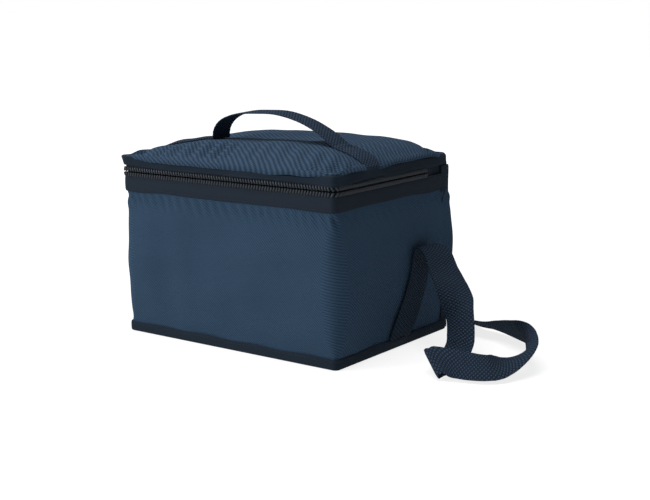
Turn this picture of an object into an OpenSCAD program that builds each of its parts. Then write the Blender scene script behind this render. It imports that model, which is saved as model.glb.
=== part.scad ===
// Soft insulated cooler bag: a boxy zipped bag with a padded, hinged lid, a webbing
// carrying handle across the lid and a long webbing shoulder strap.
// Origin: bottom centre, on the floor. +X to the right along the front, +Y to the back, +Z up.

/* [Bag] */
// Width of the bag over its outer fabric
bag_w = 208; // [196:1:220]
// Depth of the bag over its outer fabric
bag_d = 146; // [140:1:152]
// Height of the zip's centre line above the floor
zip_z = 130; // [126:1:136]
// How far the lid's crown stands above the lid's seam
lid_rise = 17; // [10:1:22]
// Radius of the two soft vertical corners at the front
corner_r = 14; // [8:1:20]

/* [Walls] */
// Thickness of the outer woven fabric
fabric_t = 0.8; // [0.5:0.1:1]
// Thickness of the insulating foam
foam_t = 3; // [2:0.5:4]
// Thickness of the foil-faced lining
lining_t = 0.4; // [0.3:0.1:0.6]

/* [Tapes and zip] */
// Thickness of the folded binding tape
tape_t = 0.95; // [0.7:0.05:1]
// Height of the binding tape round the base and round the lid
binding_h = 8; // [6:0.5:9]
// Height of the band sewn over the zip's lower tape
band_h = 12; // [10:0.5:13]
// How far the zip stops short of the back seam
zip_end_gap = 25; // [20:1:32]
// How far the zip's coil stands proud of its tape
coil_t = 1.8; // [1.4:0.1:2]

/* [Handle] */
// Width of the handle webbing
handle_w = 20; // [16:1:24]
// Thickness of the handle webbing
handle_t = 1.4; // [1:0.1:1.6]
// Height of the handle loop above the lid
handle_rise = 23; // [20:1:28]
// Distance of the handle in front of the bag's centre
handle_forward = 26; // [20:1:30]

/* [Shoulder strap] */
// Width of the shoulder strap's webbing
strap_w = 25; // [20:1:26]
// Thickness of the shoulder strap's webbing
strap_t = 1.6; // [1.2:0.1:2]

/* [Hidden] */

// Clearances
gap = 0.05;          // between layers that are sewn or glued together
clear = 0.3;         // between pieces that move past each other

// Base seam: the side fabric and the base panel's rim stand in a folded tape
seam_z = tape_t + 0.15;
base_z = 2.6;
base_foam_z = base_z + fabric_t + gap;
base_lining_z = base_foam_z + foam_t + gap;
wall_z = base_lining_z;

// Upper edge of the body, the zip and the lid's seam
wrap_top = zip_z - 9;
band_z = zip_z - 15;
back_top = zip_z + 3;
back_foam_top = zip_z - 1;
split_half = 0.6;    // half the gap between the two halves of the coil
coil_h = 2.2;        // height of one half of the coil
lid_seam_z = zip_z + 4;
lid_edge_z = zip_z + 10;
tape_top = zip_z + 11;
inner_leg_up = 2;    // how far the lid binding's inner leg stops above its outer leg
coil_short = 1;      // how far the coil stops short of the tape's end
zip_tape_t = 0.6;
zip_end_y = bag_d / 2 - zip_end_gap;
flange_y = bag_d / 2 + 3.5;
back_binding_y = bag_d / 2 - 7;

// Insets of the wall's layers from the outer face
foam_in = fabric_t + gap;
lining_in = foam_in + foam_t + gap;
room_in = lining_in + lining_t + gap;

// Lid
lid_in = 1.8;        // inset of the lid's padded panel inside its binding
lid_steps = 7;       // rings from the lid's rim to its crown
crown_power = 2.5;   // roundness of the lid's crown
lid_half_w = bag_w / 2 - lid_in;
lid_half_d = bag_d / 2 - lid_in;

// Handle: an arch that leaves the lid at two roots
root_left = -44;
root_right = 66;
cut_left = root_left + 4;
cut_right = root_right - 4;
handle_y = -handle_forward;
arch_power = 2.4;    // flatness of the arch's top
arch_shoulder = 1.7; // steepness of the arch's sides
on_lid = 0.4;        // height of the handle's tails above the lid's fabric
root_bends = [0.4, 1.2, 2.4]; // places where a tail turns up into the arch
root_run = 3;        // length of that turn
tail_steps = 8;

// Slider, on the hidden left run of the zip
slider_y = 38;
slider_l = 10;
slider_h = 9;
plate_t = 1;
slider_out = bag_w / 2 + coil_t + clear;
slider_web = 4;      // length of the web that joins the slider's two plates
bail_r = 0.6;
bail_l = 8;
bail_out = 2;        // how far the bail stands off the slider's plate
bail_x = -(slider_out + plate_t + bail_out);
eye_r = 1;
eye_wall = 0.7;
puller_w = 5.2;
puller_l = 24;
puller_t = 1.2;
puller_sink = 0.2;   // how far the puller's blade runs into its eye

// ---------- outlines and walls ----------

// Plan outline of the bag, moved in by an inset; the front corners are round
module footprint(inset) {
  w = bag_w - 2 * inset;
  d = bag_d - 2 * inset;
  r = corner_r - inset;
  translate([-w / 2, r - d / 2]) square([w, d - r]);
  translate([r - w / 2, -d / 2]) square([w - 2 * r, d]);
  for (side = [-1, 1])
    translate([side * (w / 2 - r), r - d / 2]) circle(r, $fn = 72);
}

// A closed wall between two insets
module wall_ring(outer_inset, inner_inset, z, h) {
  translate([0, 0, z]) linear_extrude(h) difference() {
    footprint(outer_inset);
    footprint(inner_inset);
  }
}

// The same wall round the front and the sides only, ending at y = back_y
module front_wall(outer_inset, inner_inset, z, h, back_y) {
  difference() {
    wall_ring(outer_inset, inner_inset, z, h);
    translate([-bag_w, back_y, z - 1]) cube([2 * bag_w, bag_d, h + 2]);
  }
}

module plate(inset, z, t) {
  translate([0, 0, z]) linear_extrude(t) footprint(inset);
}

// ---------- body ----------

module outer_wrap() color("#2b4562") {
  front_wall(0, fabric_t, seam_z, wrap_top - seam_z, bag_d / 2 - fabric_t - gap);
  // the side edges run on into the two back seams
  for (side = [0, 1]) mirror([side, 0, 0])
    translate([bag_w / 2 - fabric_t, bag_d / 2 - fabric_t - 2 * gap, binding_h + gap])
      cube([fabric_t, flange_y - bag_d / 2 + fabric_t + 2 * gap, wrap_top - binding_h - gap]);
}

module back_panel() color("#263d57") {
  translate([gap + fabric_t - bag_w / 2, bag_d / 2 - fabric_t, seam_z])
    cube([bag_w - 2 * fabric_t - 2 * gap, fabric_t, back_top - seam_z]);
  for (side = [0, 1]) mirror([side, 0, 0])
    translate([bag_w / 2 - 2 * fabric_t - gap, bag_d / 2 - gap, binding_h + gap])
      cube([fabric_t, flange_y - bag_d / 2 + gap, back_top - binding_h - gap]);
}

module base_panel() color("#22364d") {
  plate(foam_in, base_z, fabric_t);
  wall_ring(foam_in, foam_in + fabric_t, seam_z, base_z - seam_z + gap);
}

module wrap_foam() color("white")
  front_wall(foam_in, foam_in + foam_t, wall_z, wrap_top - wall_z, bag_d / 2 - lining_in);

module back_foam() color("white")
  translate([foam_in - bag_w / 2, bag_d / 2 - foam_in - foam_t, wall_z])
    cube([bag_w - 2 * foam_in, foam_t, back_foam_top - wall_z]);

module base_foam() color("white") plate(foam_in, base_foam_z, foam_t);

module wrap_lining() color("silver")
  front_wall(lining_in, lining_in + lining_t, wall_z, wrap_top - wall_z,
             bag_d / 2 - room_in);

module back_lining() color("silver")
  translate([lining_in - bag_w / 2, bag_d / 2 - lining_in - lining_t, wall_z])
    cube([bag_w - 2 * lining_in, lining_t, back_foam_top - wall_z]);

module base_lining() color("silver") plate(room_in, base_lining_z, lining_t);

// Tape folded round the base seam: outer leg, floor, short inner leg
module base_binding() color("#16222f") {
  wall_ring(-tape_t - gap, -gap, 0, binding_h);
  wall_ring(-tape_t - gap, foam_in + fabric_t + gap + tape_t, 0, tape_t);
  wall_ring(foam_in + fabric_t + gap, foam_in + fabric_t + gap + tape_t, 0, base_z - gap);
}

// Tape folded round one back seam, which stands out behind the back panel
module back_binding() {
  outer_x = bag_w / 2 + gap;
  inner_x = bag_w / 2 - 2 * fabric_t - 2 * gap - tape_t;
  h = back_top - binding_h - gap;
  translate([outer_x, back_binding_y, binding_h + gap])
    cube([tape_t, flange_y + gap + tape_t - back_binding_y, h]);
  translate([inner_x, flange_y + gap, binding_h + gap])
    cube([outer_x + tape_t - inner_x, tape_t, h]);
  translate([inner_x, bag_d / 2 + gap, binding_h + gap])
    cube([tape_t, flange_y + gap + tape_t - bag_d / 2 - gap, h]);
}

module back_binding_left() color("#16222f") mirror([1, 0, 0]) back_binding();

module back_binding_right() color("#16222f") back_binding();

module body_zip_band() color("#1a2735")
  front_wall(-tape_t - gap, -gap, band_z, band_h, back_binding_y - gap);

module zip_tape_lower() color("#121a24")
  front_wall(0, zip_tape_t, wrap_top + gap, zip_z - split_half - wrap_top - gap, zip_end_y);

module zip_coil_lower() color("#0c1017")
  front_wall(-coil_t, -gap, zip_z - split_half - coil_h, coil_h, zip_end_y - coil_short);

// Fabric patch that closes the corner between the zip's end and the back seam
module zip_end_tab() {
  translate([bag_w / 2 - fabric_t, zip_end_y + gap, wrap_top + gap])
    cube([fabric_t, zip_end_gap - fabric_t - 3 * gap, back_top - wrap_top - gap]);
}

module zip_end_tab_left() color("#10161f") mirror([1, 0, 0]) zip_end_tab();

module zip_end_tab_right() color("#10161f") zip_end_tab();

// ---------- lid ----------

// Height of the lid's top at a plan position, s = 0 at the crown and 1 at the rim
function crown_z(s) = lid_edge_z + lid_rise * (1 - pow(s, crown_power));

// One point of the lid's rim: a rectangle with round front corners, by turn angle
function arc_points(cx, cy, r, a0, a1, n) =
  [for (i = [0:n]) let (a = a0 + (a1 - a0) * i / n) [cx + r * cos(a), cy + r * sin(a)]];
function edge_points(a, b, n) = [for (i = [1:n - 1]) a + (b - a) * i / n];

lid_r = corner_r - lid_in;
lid_rim = concat(
  arc_points(lid_half_w - lid_r, lid_r - lid_half_d, lid_r, -90, 0, 4),
  edge_points([lid_half_w, lid_r - lid_half_d], [lid_half_w, lid_half_d], 3),
  [[lid_half_w, lid_half_d]],
  edge_points([lid_half_w, lid_half_d], [-lid_half_w, lid_half_d], 5),
  [[-lid_half_w, lid_half_d]],
  edge_points([-lid_half_w, lid_half_d], [-lid_half_w, lid_r - lid_half_d], 3),
  arc_points(lid_r - lid_half_w, lid_r - lid_half_d, lid_r, 180, 270, 4),
  edge_points([lid_r - lid_half_w, -lid_half_d], [lid_half_w - lid_r, -lid_half_d], 4));

// A crowned sheet: its top is drop below the lid's top, and it is t thick
module crowned_sheet(drop, t) {
  n = len(lid_rim);
  rings = lid_steps;
  layer = n * rings + 1;
  sheet = function (level)
    concat([for (k = [0:rings - 1], i = [0:n - 1]) let (s = 1 - k / rings)
              [lid_rim[i][0] * s, lid_rim[i][1] * s, crown_z(s) - level]],
           [[0, 0, crown_z(0) - level]]);
  points = concat(sheet(drop), sheet(drop + t));
  quads_up = [for (k = [0:rings - 2], i = [0:n - 1]) let (j = (i + 1) % n)
    each [[k * n + i, (k + 1) * n + i, (k + 1) * n + j], [k * n + i, (k + 1) * n + j, k * n + j]]];
  quads_down = [for (f = quads_up) [f[2] + layer, f[1] + layer, f[0] + layer]];
  last = n * (rings - 1);
  tip_up = [for (i = [0:n - 1]) [last + i, layer - 1, last + (i + 1) % n]];
  tip_down = [for (f = tip_up) [f[2] + layer, f[1] + layer, f[0] + layer]];
  side = [for (i = [0:n - 1]) let (j = (i + 1) % n)
    each [[i, j, j + layer], [i, j + layer, i + layer]]];
  polyhedron(points, concat(quads_up, quads_down, tip_up, tip_down, side));
}

module lid_panel() color("#2b4562") crowned_sheet(0, fabric_t);

module lid_foam() color("white") crowned_sheet(fabric_t + gap, foam_t);

module lid_lining() color("silver") crowned_sheet(fabric_t + foam_t + 2 * gap, lining_t);

// Tape folded over the lid's seam: outer leg, top, short inner leg
module lid_binding() color("#16222f") {
  outer = -tape_t - gap;
  inner = zip_tape_t + gap;
  wall_ring(outer, -gap, lid_seam_z, binding_h);
  wall_ring(outer, inner + tape_t, lid_seam_z + binding_h - tape_t, tape_t);
  wall_ring(inner, inner + tape_t, lid_seam_z + inner_leg_up, binding_h - inner_leg_up);
}

module zip_tape_upper() color("#121a24")
  front_wall(0, zip_tape_t, zip_z + split_half, tape_top - gap - zip_z - split_half,
             zip_end_y);

module zip_coil_upper() color("#0c1017")
  front_wall(-coil_t, -gap, zip_z + split_half, coil_h, zip_end_y - coil_short);

// ---------- handle ----------

// Height of the handle's underside where it lies on the lid, at a distance x
function lid_top_at(x) =
  crown_z(max(abs(x) / lid_half_w, (handle_forward - handle_w / 2) / lid_half_d)) + on_lid;

// Height of the arch's underside between the two roots
function arch_at(x) = let (
    mid = (root_left + root_right) / 2,
    half = (root_right - root_left) / 2,
    t = (x - mid) / half,
    base = lid_top_at(root_left) + (lid_top_at(root_right) - lid_top_at(root_left)) * (t + 1) / 2)
  base + handle_rise * pow(max(0, 1 - pow(abs(t), arch_power)), 1 / arch_shoulder);

// Outline of a band of webbing above the underside points
function band_outline(under) = let (n = len(under)) concat(under,
  [for (k = [0:n - 1]) let (
      i = n - 1 - k,
      d = under[min(i + 1, n - 1)] - under[max(i - 1, 0)],
      l = norm(d))
    under[i] + [-d[1], d[0]] * handle_t / l]);

// A band of handle webbing over underside points in the X-Z plane
module handle_band(under)
  translate([0, handle_y + handle_w / 2, 0]) rotate([90, 0, 0])
    linear_extrude(handle_w) polygon(band_outline(under));

tail_end = lid_half_w - 1;
arch_steps = 28;
left_bends = [for (bend = root_bends) root_left + bend];
right_bends = [for (i = [2:-1:0]) root_right - root_bends[i]];
arch_x = concat(left_bends,
  [for (i = [0:arch_steps])
    (cut_left + cut_right) / 2 - (cut_right - cut_left) / 2 * cos(180 * i / arch_steps)],
  right_bends);
handle_line = concat(
  [for (i = [0:tail_steps])
    let (x = -tail_end + (root_left - root_run + tail_end) * i / tail_steps) [x, lid_top_at(x)]],
  [for (x = arch_x) [x, arch_at(x)]],
  [for (i = [0:tail_steps])
    let (x = root_right + root_run + (tail_end - root_right - root_run) * i / tail_steps)
      [x, lid_top_at(x)]]);

// The part of the handle's webbing between two upright planes
module handle_part(from, to) intersection() {
  handle_band(handle_line);
  translate([from, -bag_d, 0]) cube([to - from, bag_d, 2 * bag_d]);
}

module handle_tail_left() color("#1b2836") handle_part(-bag_w, cut_left - clear);

module handle_tail_right() color("#1b2836") handle_part(cut_right + clear, bag_w);

module handle_loop() color("#1b2836") handle_part(cut_left, cut_right);

// ---------- shoulder strap ----------

// Route of the strap's centre line with the line across it, which is slanted at the fold:
// [x, y, z, across x, across y, across z]
strap_route = [
  // up the right side from the base seam
  [106, 9, 12, 0, 1, 0],
  [106, 24, 34, 0, 3, -1],
  [107, 31, 54, 0, 1, 0],
  // over its bend and down to the floor
  [109, 35, 73, 0, 1, 0],
  [120, 34, 72, 1, 3, 0],
  [132, 26, 61, 1, 2, 0],
  [146, 16, 50, 1, 1, 0],
  [158, 6, 36, 3, 0, 1],
  [165, -3, 18, 6, -1, 0],
  [165, -9, 9, 6, -1, 0],
  [165, -22, 5, 4, 0, -1],
  // folded back on itself and along the floor, leaning back
  [165, -36, 8, 4, -2, -3],
  [166, -44, 9, 3, -2, -2],
  [168, -46, 11, 3, -2, -2],
  [171, -43, 12, 3, -2, -2],
  [184, -38, 10, 2, -4, -3],
  [203, -31, 9, 2, -3, -2],
  // round the right-hand end, rolling over
  [209, -16, 9, 4, -2, -1],
  [212, 4, 12, 4, 0, 2],
  [208, 22, 13, 1, 0, 2],
  [197, 39, 13, 0, 0, 1],
  [182, 55, 12, -1, -1, 2],
  [164, 68, 9, -1, -2, 2],
  [145, 74, 8, 0, -2, 1],
  [125, 79, 7, -1, -2, 1],
  [105, 92, 5, -1, -3, 1],
  // flat behind the bag, then up on its edge
  [80, 98, 4, 0, -5, 1],
  [50, 98, 2, 0, -1, 0],
  [20, 95, 7, 0, -2, 1],
  [-10, 93, 12, 0, -1, 2],
  [-40, 95, 14, 0, 0, 1],
  [-80, 107, 14, 0, 0, 1],
  [-115, 115, 14, 0, 0, 1],
  [-140, 106, 14, 0, 0, 1],
  [-152, 82, 13, -1, 0, 2],
  // up to its bend and down the left side to the base seam
  [-148, 56, 17, -1, 0, 0],
  [-136, 38, 42, -4, -3, 0],
  [-122, 30, 64, -1, -2, 0],
  [-111, 27, 72, 0, -1, 0],
  [-107, 21, 56, 0, -1, 0],
  [-106, 5, 15, 0, -2, 1]];

strap_steps = 2;     // rings swept between two places of the route

function unit(v) = v / norm(v);

// A smooth curve from b to c, with a before it and d after it
function spline(a, b, c, d, t) = (2 * b + (c - a) * t + (2 * a - 5 * b + 4 * c - d) * t * t
  + (3 * b - a - 3 * c + d) * t * t * t) / 2;

function route_place(i) = let (p = strap_route[i]) [p[0], p[1], p[2]];
function route_across(i) = let (p = strap_route[i]) unit([p[3], p[4], p[5]]);

route_last = len(strap_route) - 1;
strap_rings = [for (k = [0:route_last * strap_steps]) let (
    i = min(floor(k / strap_steps), route_last - 1),
    t = k / strap_steps - i,
    before = max(i - 1, 0),
    after = min(i + 2, route_last))
  [spline(route_place(before), route_place(i), route_place(i + 1), route_place(after), t),
   spline(route_across(before), route_across(i), route_across(i + 1), route_across(after), t)]];

function strap_section(k) = let (
    ring = strap_rings[k],
    from = strap_rings[max(k - 1, 0)][0],
    to = strap_rings[min(k + 1, len(strap_rings) - 1)][0],
    facing = cross(unit(to - from), unit(ring[1])),
    across = unit(ring[1]) * strap_w / 2 / norm(facing),
    out = unit(facing) * strap_t / 2)
  [ring[0] - across - out, ring[0] + across - out,
   ring[0] + across + out, ring[0] - across + out];

module shoulder_strap() color("#18242f") {
  n = len(strap_rings);
  points = [for (k = [0:n - 1]) each strap_section(k)];
  // the quads of the two broad faces are cut along parallel diagonals, so a twist keeps them apart
  sides = [for (i = [0:n - 2], k = [0:3]) let (
      a = 4 * i + k, b = a + 4, d = 4 * i + (k + 1) % 4, c = d + 4)
    each k < 2 ? [[a, b, c], [a, c, d]] : [[a, b, d], [b, c, d]]];
  polyhedron(points, concat(sides, [[0, 1, 2], [0, 2, 3]],
    [[4 * n - 4, 4 * n - 2, 4 * n - 3], [4 * n - 4, 4 * n - 1, 4 * n - 2]]));
}

// ---------- zip slider ----------

module slider_body() color("dimgray") {
  y0 = slider_y - slider_l / 2;
  back_in = zip_tape_t + clear;
  translate([-slider_out - plate_t, y0, zip_z - slider_h / 2])
    cube([plate_t, slider_l, slider_h]);
  translate([-bag_w / 2 + back_in, y0, zip_z - slider_h / 2])
    cube([plate_t, slider_l, slider_h]);
  translate([-slider_out - gap, slider_y - slider_web / 2, zip_z - split_half / 2])
    cube([slider_out - bag_w / 2 + back_in + 2 * gap, slider_web, split_half]);
}

// The arch on the slider's face that the puller hangs on
module slider_crown() color("gray") {
  for (end = [-1, 1])
    translate([bail_x - bail_r, slider_y + end * bail_l / 2 - bail_r, zip_z - bail_r])
      cube([-slider_out - plate_t - bail_x + bail_r, 2 * bail_r, 2 * bail_r]);
  translate([bail_x, slider_y - bail_l / 2, zip_z]) rotate([-90, 0, 0])
    cylinder(h = bail_l, r = bail_r, $fn = 32);
}

module zip_puller() color("gray") difference() {
  union() {
    translate([bail_x, slider_y - puller_w / 2, zip_z]) rotate([-90, 0, 0])
      cylinder(h = puller_w, r = eye_r + eye_wall, $fn = 48);
    translate([bail_x - puller_t / 2, slider_y - puller_w / 2, zip_z - puller_l])
      cube([puller_t, puller_w, puller_l - eye_r + puller_sink]);
  }
  translate([bail_x, slider_y - puller_w, zip_z]) rotate([-90, 0, 0])
    cylinder(h = 2 * puller_w, r = eye_r, $fn = 48);
}

outer_wrap();
back_panel();
base_panel();
wrap_foam();
back_foam();
base_foam();
wrap_lining();
back_lining();
base_lining();
base_binding();
back_binding_left();
back_binding_right();
body_zip_band();
zip_tape_lower();
zip_coil_lower();
zip_end_tab_left();
zip_end_tab_right();
shoulder_strap();
lid_panel();
lid_foam();
lid_lining();
lid_binding();
zip_tape_upper();
zip_coil_upper();
handle_tail_left();
handle_tail_right();
handle_loop();
slider_body();
slider_crown();
zip_puller();
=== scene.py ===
import math

import bmesh
import bpy
import numpy as np
from mathutils import Matrix, Vector


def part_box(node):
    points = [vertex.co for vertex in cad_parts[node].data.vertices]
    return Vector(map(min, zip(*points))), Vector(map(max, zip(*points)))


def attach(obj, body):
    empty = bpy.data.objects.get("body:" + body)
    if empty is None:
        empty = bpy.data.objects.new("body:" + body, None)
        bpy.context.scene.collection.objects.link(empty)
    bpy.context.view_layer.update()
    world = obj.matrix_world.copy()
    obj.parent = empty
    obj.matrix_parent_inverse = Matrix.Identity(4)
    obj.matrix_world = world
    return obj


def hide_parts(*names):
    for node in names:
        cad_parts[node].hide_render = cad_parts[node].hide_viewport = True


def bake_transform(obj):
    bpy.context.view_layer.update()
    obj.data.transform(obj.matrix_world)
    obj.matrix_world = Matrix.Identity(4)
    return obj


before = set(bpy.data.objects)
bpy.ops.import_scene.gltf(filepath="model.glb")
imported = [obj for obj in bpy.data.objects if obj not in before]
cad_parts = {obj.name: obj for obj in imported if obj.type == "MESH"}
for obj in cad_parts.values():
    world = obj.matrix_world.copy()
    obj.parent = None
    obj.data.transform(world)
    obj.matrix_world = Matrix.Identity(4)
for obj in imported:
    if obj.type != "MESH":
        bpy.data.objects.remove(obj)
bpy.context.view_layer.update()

MM = 0.001


def cad_box(node):
    """A node's lowest and highest corner, in mm."""
    lo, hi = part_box(node)
    return np.array(lo) / MM, np.array(hi) / MM


# ---------- sizes, from the CAD frame ----------
wrap_lo, wrap_hi = cad_box("outer_wrap")
back_lo, back_hi = cad_box("back_panel")
base_lo, base_hi = cad_box("base_panel")
foam_lo, foam_hi = cad_box("wrap_foam")
back_foam_lo, back_foam_hi = cad_box("back_foam")
base_foam_lo, base_foam_hi = cad_box("base_foam")
lining_lo, lining_hi = cad_box("wrap_lining")
back_lining_lo, back_lining_hi = cad_box("back_lining")
base_lining_lo, base_lining_hi = cad_box("base_lining")
base_tape_hi = cad_box("base_binding")[1]
side_tape_lo, side_tape_hi = cad_box("back_binding_right")
band_lo, band_hi = cad_box("body_zip_band")
tape_lo, tape_hi = cad_box("zip_tape_lower")
tape_up_lo, tape_up_hi = cad_box("zip_tape_upper")
coil_hi = cad_box("zip_coil_lower")[1]
coil_up_lo = cad_box("zip_coil_upper")[0]
tab_lo, tab_hi = cad_box("zip_end_tab_right")
lid_tape_lo, lid_tape_hi = cad_box("lid_binding")
loop_lo, loop_hi = cad_box("handle_loop")
slider_lo, slider_hi = cad_box("slider_body")
crown_lo, crown_hi = cad_box("slider_crown")
puller_lo, puller_hi = cad_box("zip_puller")

HALF_W = wrap_hi[0]
HALF_D = -wrap_lo[1]
FABRIC = 0.8           # thickness of the outer fabric
TAPE = 0.95            # thickness of folded binding tape
TAPE_IN = -0.52        # inset of the middle of a tape's outer leg
END_RADIUS = 3.5       # corner radius at the base and at the zip
BODY_RADIUS = 11.0     # corner radius half-way up
BACK_RADIUS = 2.0
FILM = 0.4             # thickness of the foil lining
ZIP_Z = (coil_hi[2] + coil_up_lo[2]) / 2
# how many points each stretch of an outline has
SIDE_N, ARC_N, FRONT_N, BACK_N, TURN_N = 48, 9, 92, 46, 3


# ---------- small numeric helpers ----------
def ripple(points, wave, seed, terms=7):
    """Seeded smooth unevenness of about unit size; wave is its usual wavelength in mm."""
    rng = np.random.default_rng(seed)
    total = np.zeros(points.shape[:-1])
    for _ in range(terms):
        way = rng.normal(size=3)
        way /= np.linalg.norm(way)
        total += np.sin(points @ way * 2 * np.pi / (wave * rng.uniform(0.7, 1.5))
                        + rng.uniform(0, 2 * np.pi))
    return total / math.sqrt(terms)


def plan_ripple(x, y, wave, seed):
    """The same unevenness over a plan."""
    return ripple(np.stack([x, y, 0 * x], -1), wave, seed)


def bump(value, middle, width):
    """A smooth hill of height 1 about a middle."""
    return np.exp(-((value - middle) / width) ** 2)


def rise(value, low, high):
    """0 below low, 1 above high, smooth between."""
    t = np.clip((value - low) / (high - low), 0, 1)
    return t * t * (3 - 2 * t)


def lengths(path):
    """Distance along a path at each of its points."""
    step = np.linalg.norm(np.diff(path, axis=0), axis=1)
    return np.concatenate([[0], np.cumsum(step)])


def unit(vectors):
    size = np.linalg.norm(vectors, axis=-1, keepdims=True)
    return vectors / np.maximum(size, 1e-9)


def resample(path, at):
    """Points of a path at distances along it."""
    s = lengths(path)
    return np.stack([np.interp(at, s, path[:, k]) for k in range(path.shape[1])], -1)


def smooth_path(points, steps):
    """A smooth curve through points, with steps rows between two of them."""
    p = np.array(points, float)
    last = len(p) - 1
    rows = []
    for k in range(last * steps + 1):
        i = min(k // steps, last - 1)
        t = k / steps - i
        a, b, c, d = p[max(i - 1, 0)], p[i], p[i + 1], p[min(i + 2, last)]
        rows.append((2 * b + (c - a) * t + (2 * a - 5 * b + 4 * c - d) * t * t
                     + (3 * b - a - 3 * c + d) * t ** 3) / 2)
    return np.array(rows)


# ---------- meshes ----------
def weave_grid(u, v):
    """Weave coordinates for a grid of points, from those along its rows and its columns."""
    return np.stack(np.meshgrid(u, v), -1)


def show(thing):
    bpy.context.scene.collection.objects.link(thing)
    return thing


def quads(at):
    """The four corners of every cell of a grid, in order round the cell."""
    return [at[:-1, :-1], at[1:, :-1], at[1:, 1:], at[:-1, 1:]]


def new_piece(name, points, faces, uv=None, sharp=48):
    """A smooth-shaded object from points in mm, with a weave map in mm."""
    mesh = bpy.data.meshes.new(name)
    mesh.from_pydata((np.asarray(points) * MM).tolist(), [], [list(map(int, f)) for f in faces])
    if uv is not None:
        layer = mesh.uv_layers.new(name="Weave")
        layer.data.foreach_set("uv", np.concatenate([np.asarray(c).ravel() for c in uv]))
    work = bmesh.new()
    work.from_mesh(mesh)
    bmesh.ops.recalc_face_normals(work, faces=work.faces)
    work.to_mesh(mesh)
    work.free()
    mesh.shade_smooth()
    mesh.set_sharp_from_angle(angle=math.radians(sharp))
    return show(bpy.data.objects.new(name, mesh))


def grid_normals(grid, loop):
    """Unit normals of a grid of points (rows, columns, 3)."""
    if loop:
        wide = np.concatenate([grid[:, -1:], grid, grid[:, :1]], axis=1)
        along = wide[:, 2:] - wide[:, :-2]
    else:
        along = np.gradient(grid, axis=1)
    return unit(np.cross(along, np.gradient(grid, axis=0)))


EDGE_TAPER = 0.45      # a sheet's thickness at its edge, as a share of the whole


def slab(name, grid, thickness, uv, loop=False):
    """A closed sheet about a grid of middle points; loop joins its last column to its first."""
    rows, cols = grid.shape[:2]
    normal = grid_normals(grid, loop)
    taper = np.ones(rows)
    taper[0] = taper[-1] = EDGE_TAPER
    half = normal * (thickness / 2 * taper)[:, None, None]
    points = np.concatenate([(grid + half).reshape(-1, 3), (grid - half).reshape(-1, 3)])
    count = rows * cols
    ids = np.arange(count).reshape(rows, cols)
    if loop:
        ids = np.hstack([ids, ids[:, :1]])
    faces, coords = [], []

    def patch(index, at):
        faces.append(np.stack(quads(index), -1).reshape(-1, 4))
        coords.append(np.stack(quads(at), 2).reshape(-1, 4, 2))

    patch(ids, uv)
    patch(ids + count, uv)
    for edge in (0, -1):
        patch(np.stack([ids[edge], ids[edge] + count]), np.stack([uv[edge], uv[edge] + thickness]))
        if not loop:
            patch(np.stack([ids[:, edge], ids[:, edge] + count]),
                  np.stack([uv[:, edge], uv[:, edge] + thickness]))
    return new_piece(name, points, np.concatenate(faces), [np.concatenate(coords)])


def tube(name, rings, uv, closed=False):
    """A closed form swept through rings of points (length, section, 3)."""
    n, m = rings.shape[:2]
    ids = np.arange(n * m).reshape(n, m)
    ids = np.hstack([ids, ids[:, :1]])
    if closed:
        ids = np.vstack([ids, ids[:1]])
        uv = np.concatenate([uv, uv[:1]])
    faces = np.stack(quads(ids), -1).reshape(-1, 4)
    coords = np.stack(quads(uv), 2).reshape(-1, 2)
    all_faces, all_uv = [list(f) for f in faces], [coords]
    if not closed:
        for end in (0, n - 1):
            all_faces.append(list(range(end * m, end * m + m)))
            all_uv.append(uv[end, :m])
    return new_piece(name, rings.reshape(-1, 3), all_faces, all_uv)


def capsules(name, starts, ends, radius, sides=6):
    """Many small rounded bars, such as stitches or teeth, as one piece."""
    starts, ends = np.asarray(starts, float), np.asarray(ends, float)
    way = unit(ends - starts)
    helper = np.where(np.abs(way[:, 2:3]) < 0.9, [[0.0, 0.0, 1.0]], [[1.0, 0.0, 0.0]])
    one = unit(np.cross(way, helper))
    two = np.cross(way, one)
    reach = np.linalg.norm(ends - starts, axis=1) / 2 + radius * 0.6
    middle = (starts + ends) / 2
    stations = np.array([-1, -0.9, -0.6, 0.6, 0.9, 1.0])
    fat = np.array([0.25, 0.7, 1, 1, 0.7, 0.25])
    turn = np.arange(sides) * 2 * np.pi / sides
    ring = (np.cos(turn)[:, None, None] * one[None] + np.sin(turn)[:, None, None] * two[None])
    points, faces = [], []
    for k in range(len(starts)):
        base = k * len(stations) * sides
        for station, size in zip(stations, fat):
            points.append(middle[k] + way[k] * reach[k] * station + ring[:, k] * radius * size)
        for i in range(len(stations) - 1):
            for j in range(sides):
                a, b = base + i * sides + j, base + i * sides + (j + 1) % sides
                faces.append([a, b, b + sides, a + sides])
        faces.append(list(range(base, base + sides)))
        top = base + (len(stations) - 1) * sides
        faces.append(list(range(top, top + sides)))
    return new_piece(name, np.concatenate(points), faces, sharp=70)


def dress(piece, material, body=None, replaces=()):
    """Gives a piece its material and slot, its body, and the CAD nodes that it stands for."""
    piece.data.materials.append(material)
    if body:
        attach(piece, body)
    if replaces:
        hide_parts(*replaces)
    return piece


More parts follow.
